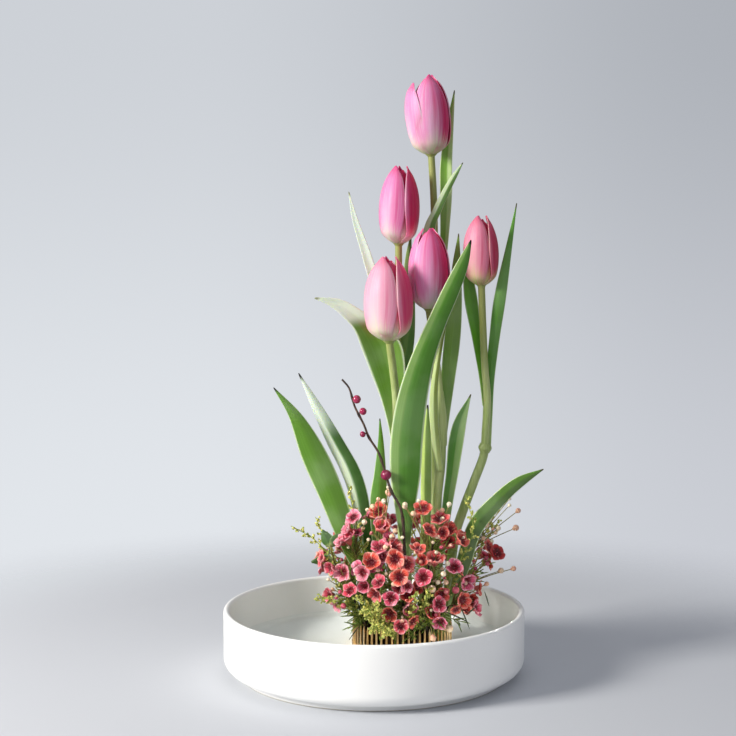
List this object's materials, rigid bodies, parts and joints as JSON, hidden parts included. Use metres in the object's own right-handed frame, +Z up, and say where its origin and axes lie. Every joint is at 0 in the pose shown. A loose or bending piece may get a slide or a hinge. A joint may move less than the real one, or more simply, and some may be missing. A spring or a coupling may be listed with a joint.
{
  "type": "ikebana arrangement",
  "caption": "Ikebana arrangement: tall closed tulips with their leaves, a berried twig, waxflower and goldenrod sprays held by a brass pin holder in a low round white water bowl.",
  "frame": {"origin": "centre of the bowl's flat underside, which stands on the table", "axes": "+Z up, +X towards the side where the pin holder stands and the lowest leaf leans out, -Y towards the front"},
  "size_m": [0.2316, 0.22, 0.4364],
  "materials": {
    "glaze": "satin",
    "water": "gloss",
    "stem": "satin",
    "tulip": "satin",
    "leaf": "satin",
    "bark": "matte",
    "round_leaf": "satin",
    "goldenrod": "matte",
    "waxflower": "satin",
    "brass": "satin"
  },
  "bodies": {
    "root": {"bowl": "glaze", "water": "water", "tulip_1_leafy_stem": "stem", "tulip_1_bloom": "tulip", "tulip_2_leafy_stem": "stem", "tulip_2_bloom": "tulip", "tulip_3_leafy_stem": "stem", "tulip_3_bloom": "tulip", "tulip_4_leafy_stem": "stem", "tulip_4_bloom": "tulip", "tulip_5_leafy_stem": "stem", "tulip_5_bloom": "tulip", "leaf_front": "leaf", "leaf_far_left": "leaf", "leaf_left": "leaf", "leaf_slim": "leaf", "leaf_short": "leaf", "leaf_low_right": "leaf", "berry_twig": "bark", "round_leaf_sprig": "round_leaf", "goldenrod_sprig_1": "goldenrod", "goldenrod_sprig_2": "goldenrod", "goldenrod_sprig_3": "goldenrod", "goldenrod_sprig_4": "goldenrod", "goldenrod_sprig_5": "goldenrod", "goldenrod_sprig_6": "goldenrod", "goldenrod_sprig_7": "goldenrod", "goldenrod_sprig_8": "goldenrod", "waxflower_spray_1": "waxflower", "waxflower_spray_2": "waxflower", "waxflower_spray_3": "waxflower", "waxflower_spray_4": "waxflower", "waxflower_spray_5": "waxflower", "waxflower_spray_6": "waxflower", "waxflower_spray_7": "waxflower", "waxflower_spray_8": "waxflower", "waxflower_spray_9": "waxflower", "waxflower_spray_10": "waxflower", "waxflower_spray_11": "waxflower", "waxflower_spray_12": "waxflower", "waxflower_spray_13": "waxflower", "waxflower_spray_14": "waxflower", "waxflower_spray_15": "waxflower", "kenzan": "brass"}
  },
  "joints": []
}
